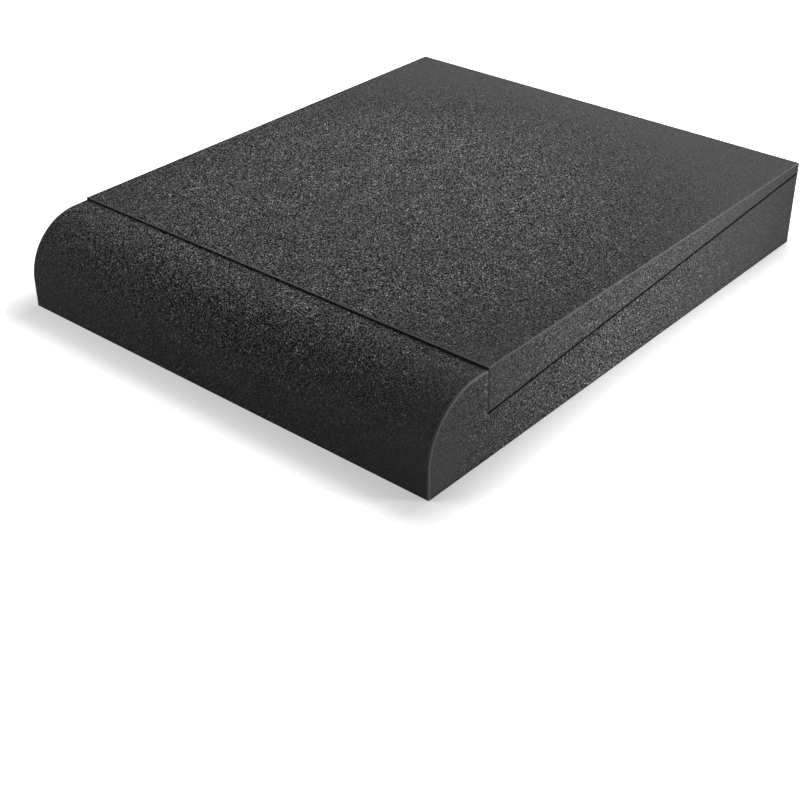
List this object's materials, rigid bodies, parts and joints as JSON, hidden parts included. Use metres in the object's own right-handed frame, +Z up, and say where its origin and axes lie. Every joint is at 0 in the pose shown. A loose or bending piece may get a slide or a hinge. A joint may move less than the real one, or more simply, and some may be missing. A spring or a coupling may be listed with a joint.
{
  "type": "speaker isolation pad",
  "caption": "Low rectangular foam pad with a round nose along its front edge and a loose tapered slab lying in a sloping bed behind it, to stand a desktop speaker on.",
  "frame": {"origin": "middle of the underside, where the pad stands on the desk", "axes": "+Z up to the face that the speaker stands on, +Y from the round nose to the square back, +X across the width"},
  "size_m": [0.25, 0.3, 0.045],
  "materials": {
    "base_foam": "open-cell polyurethane foam, charcoal, knife-cut, dry and matte with a fine sparkle of cell walls",
    "wedge_foam": "open-cell polyurethane foam, charcoal, knife-cut, dry and matte with a fine sparkle of cell walls"
  },
  "bodies": {
    "root": {"pad_base": "base_foam", "wedge_insert": "wedge_foam"}
  },
  "joints": []
}
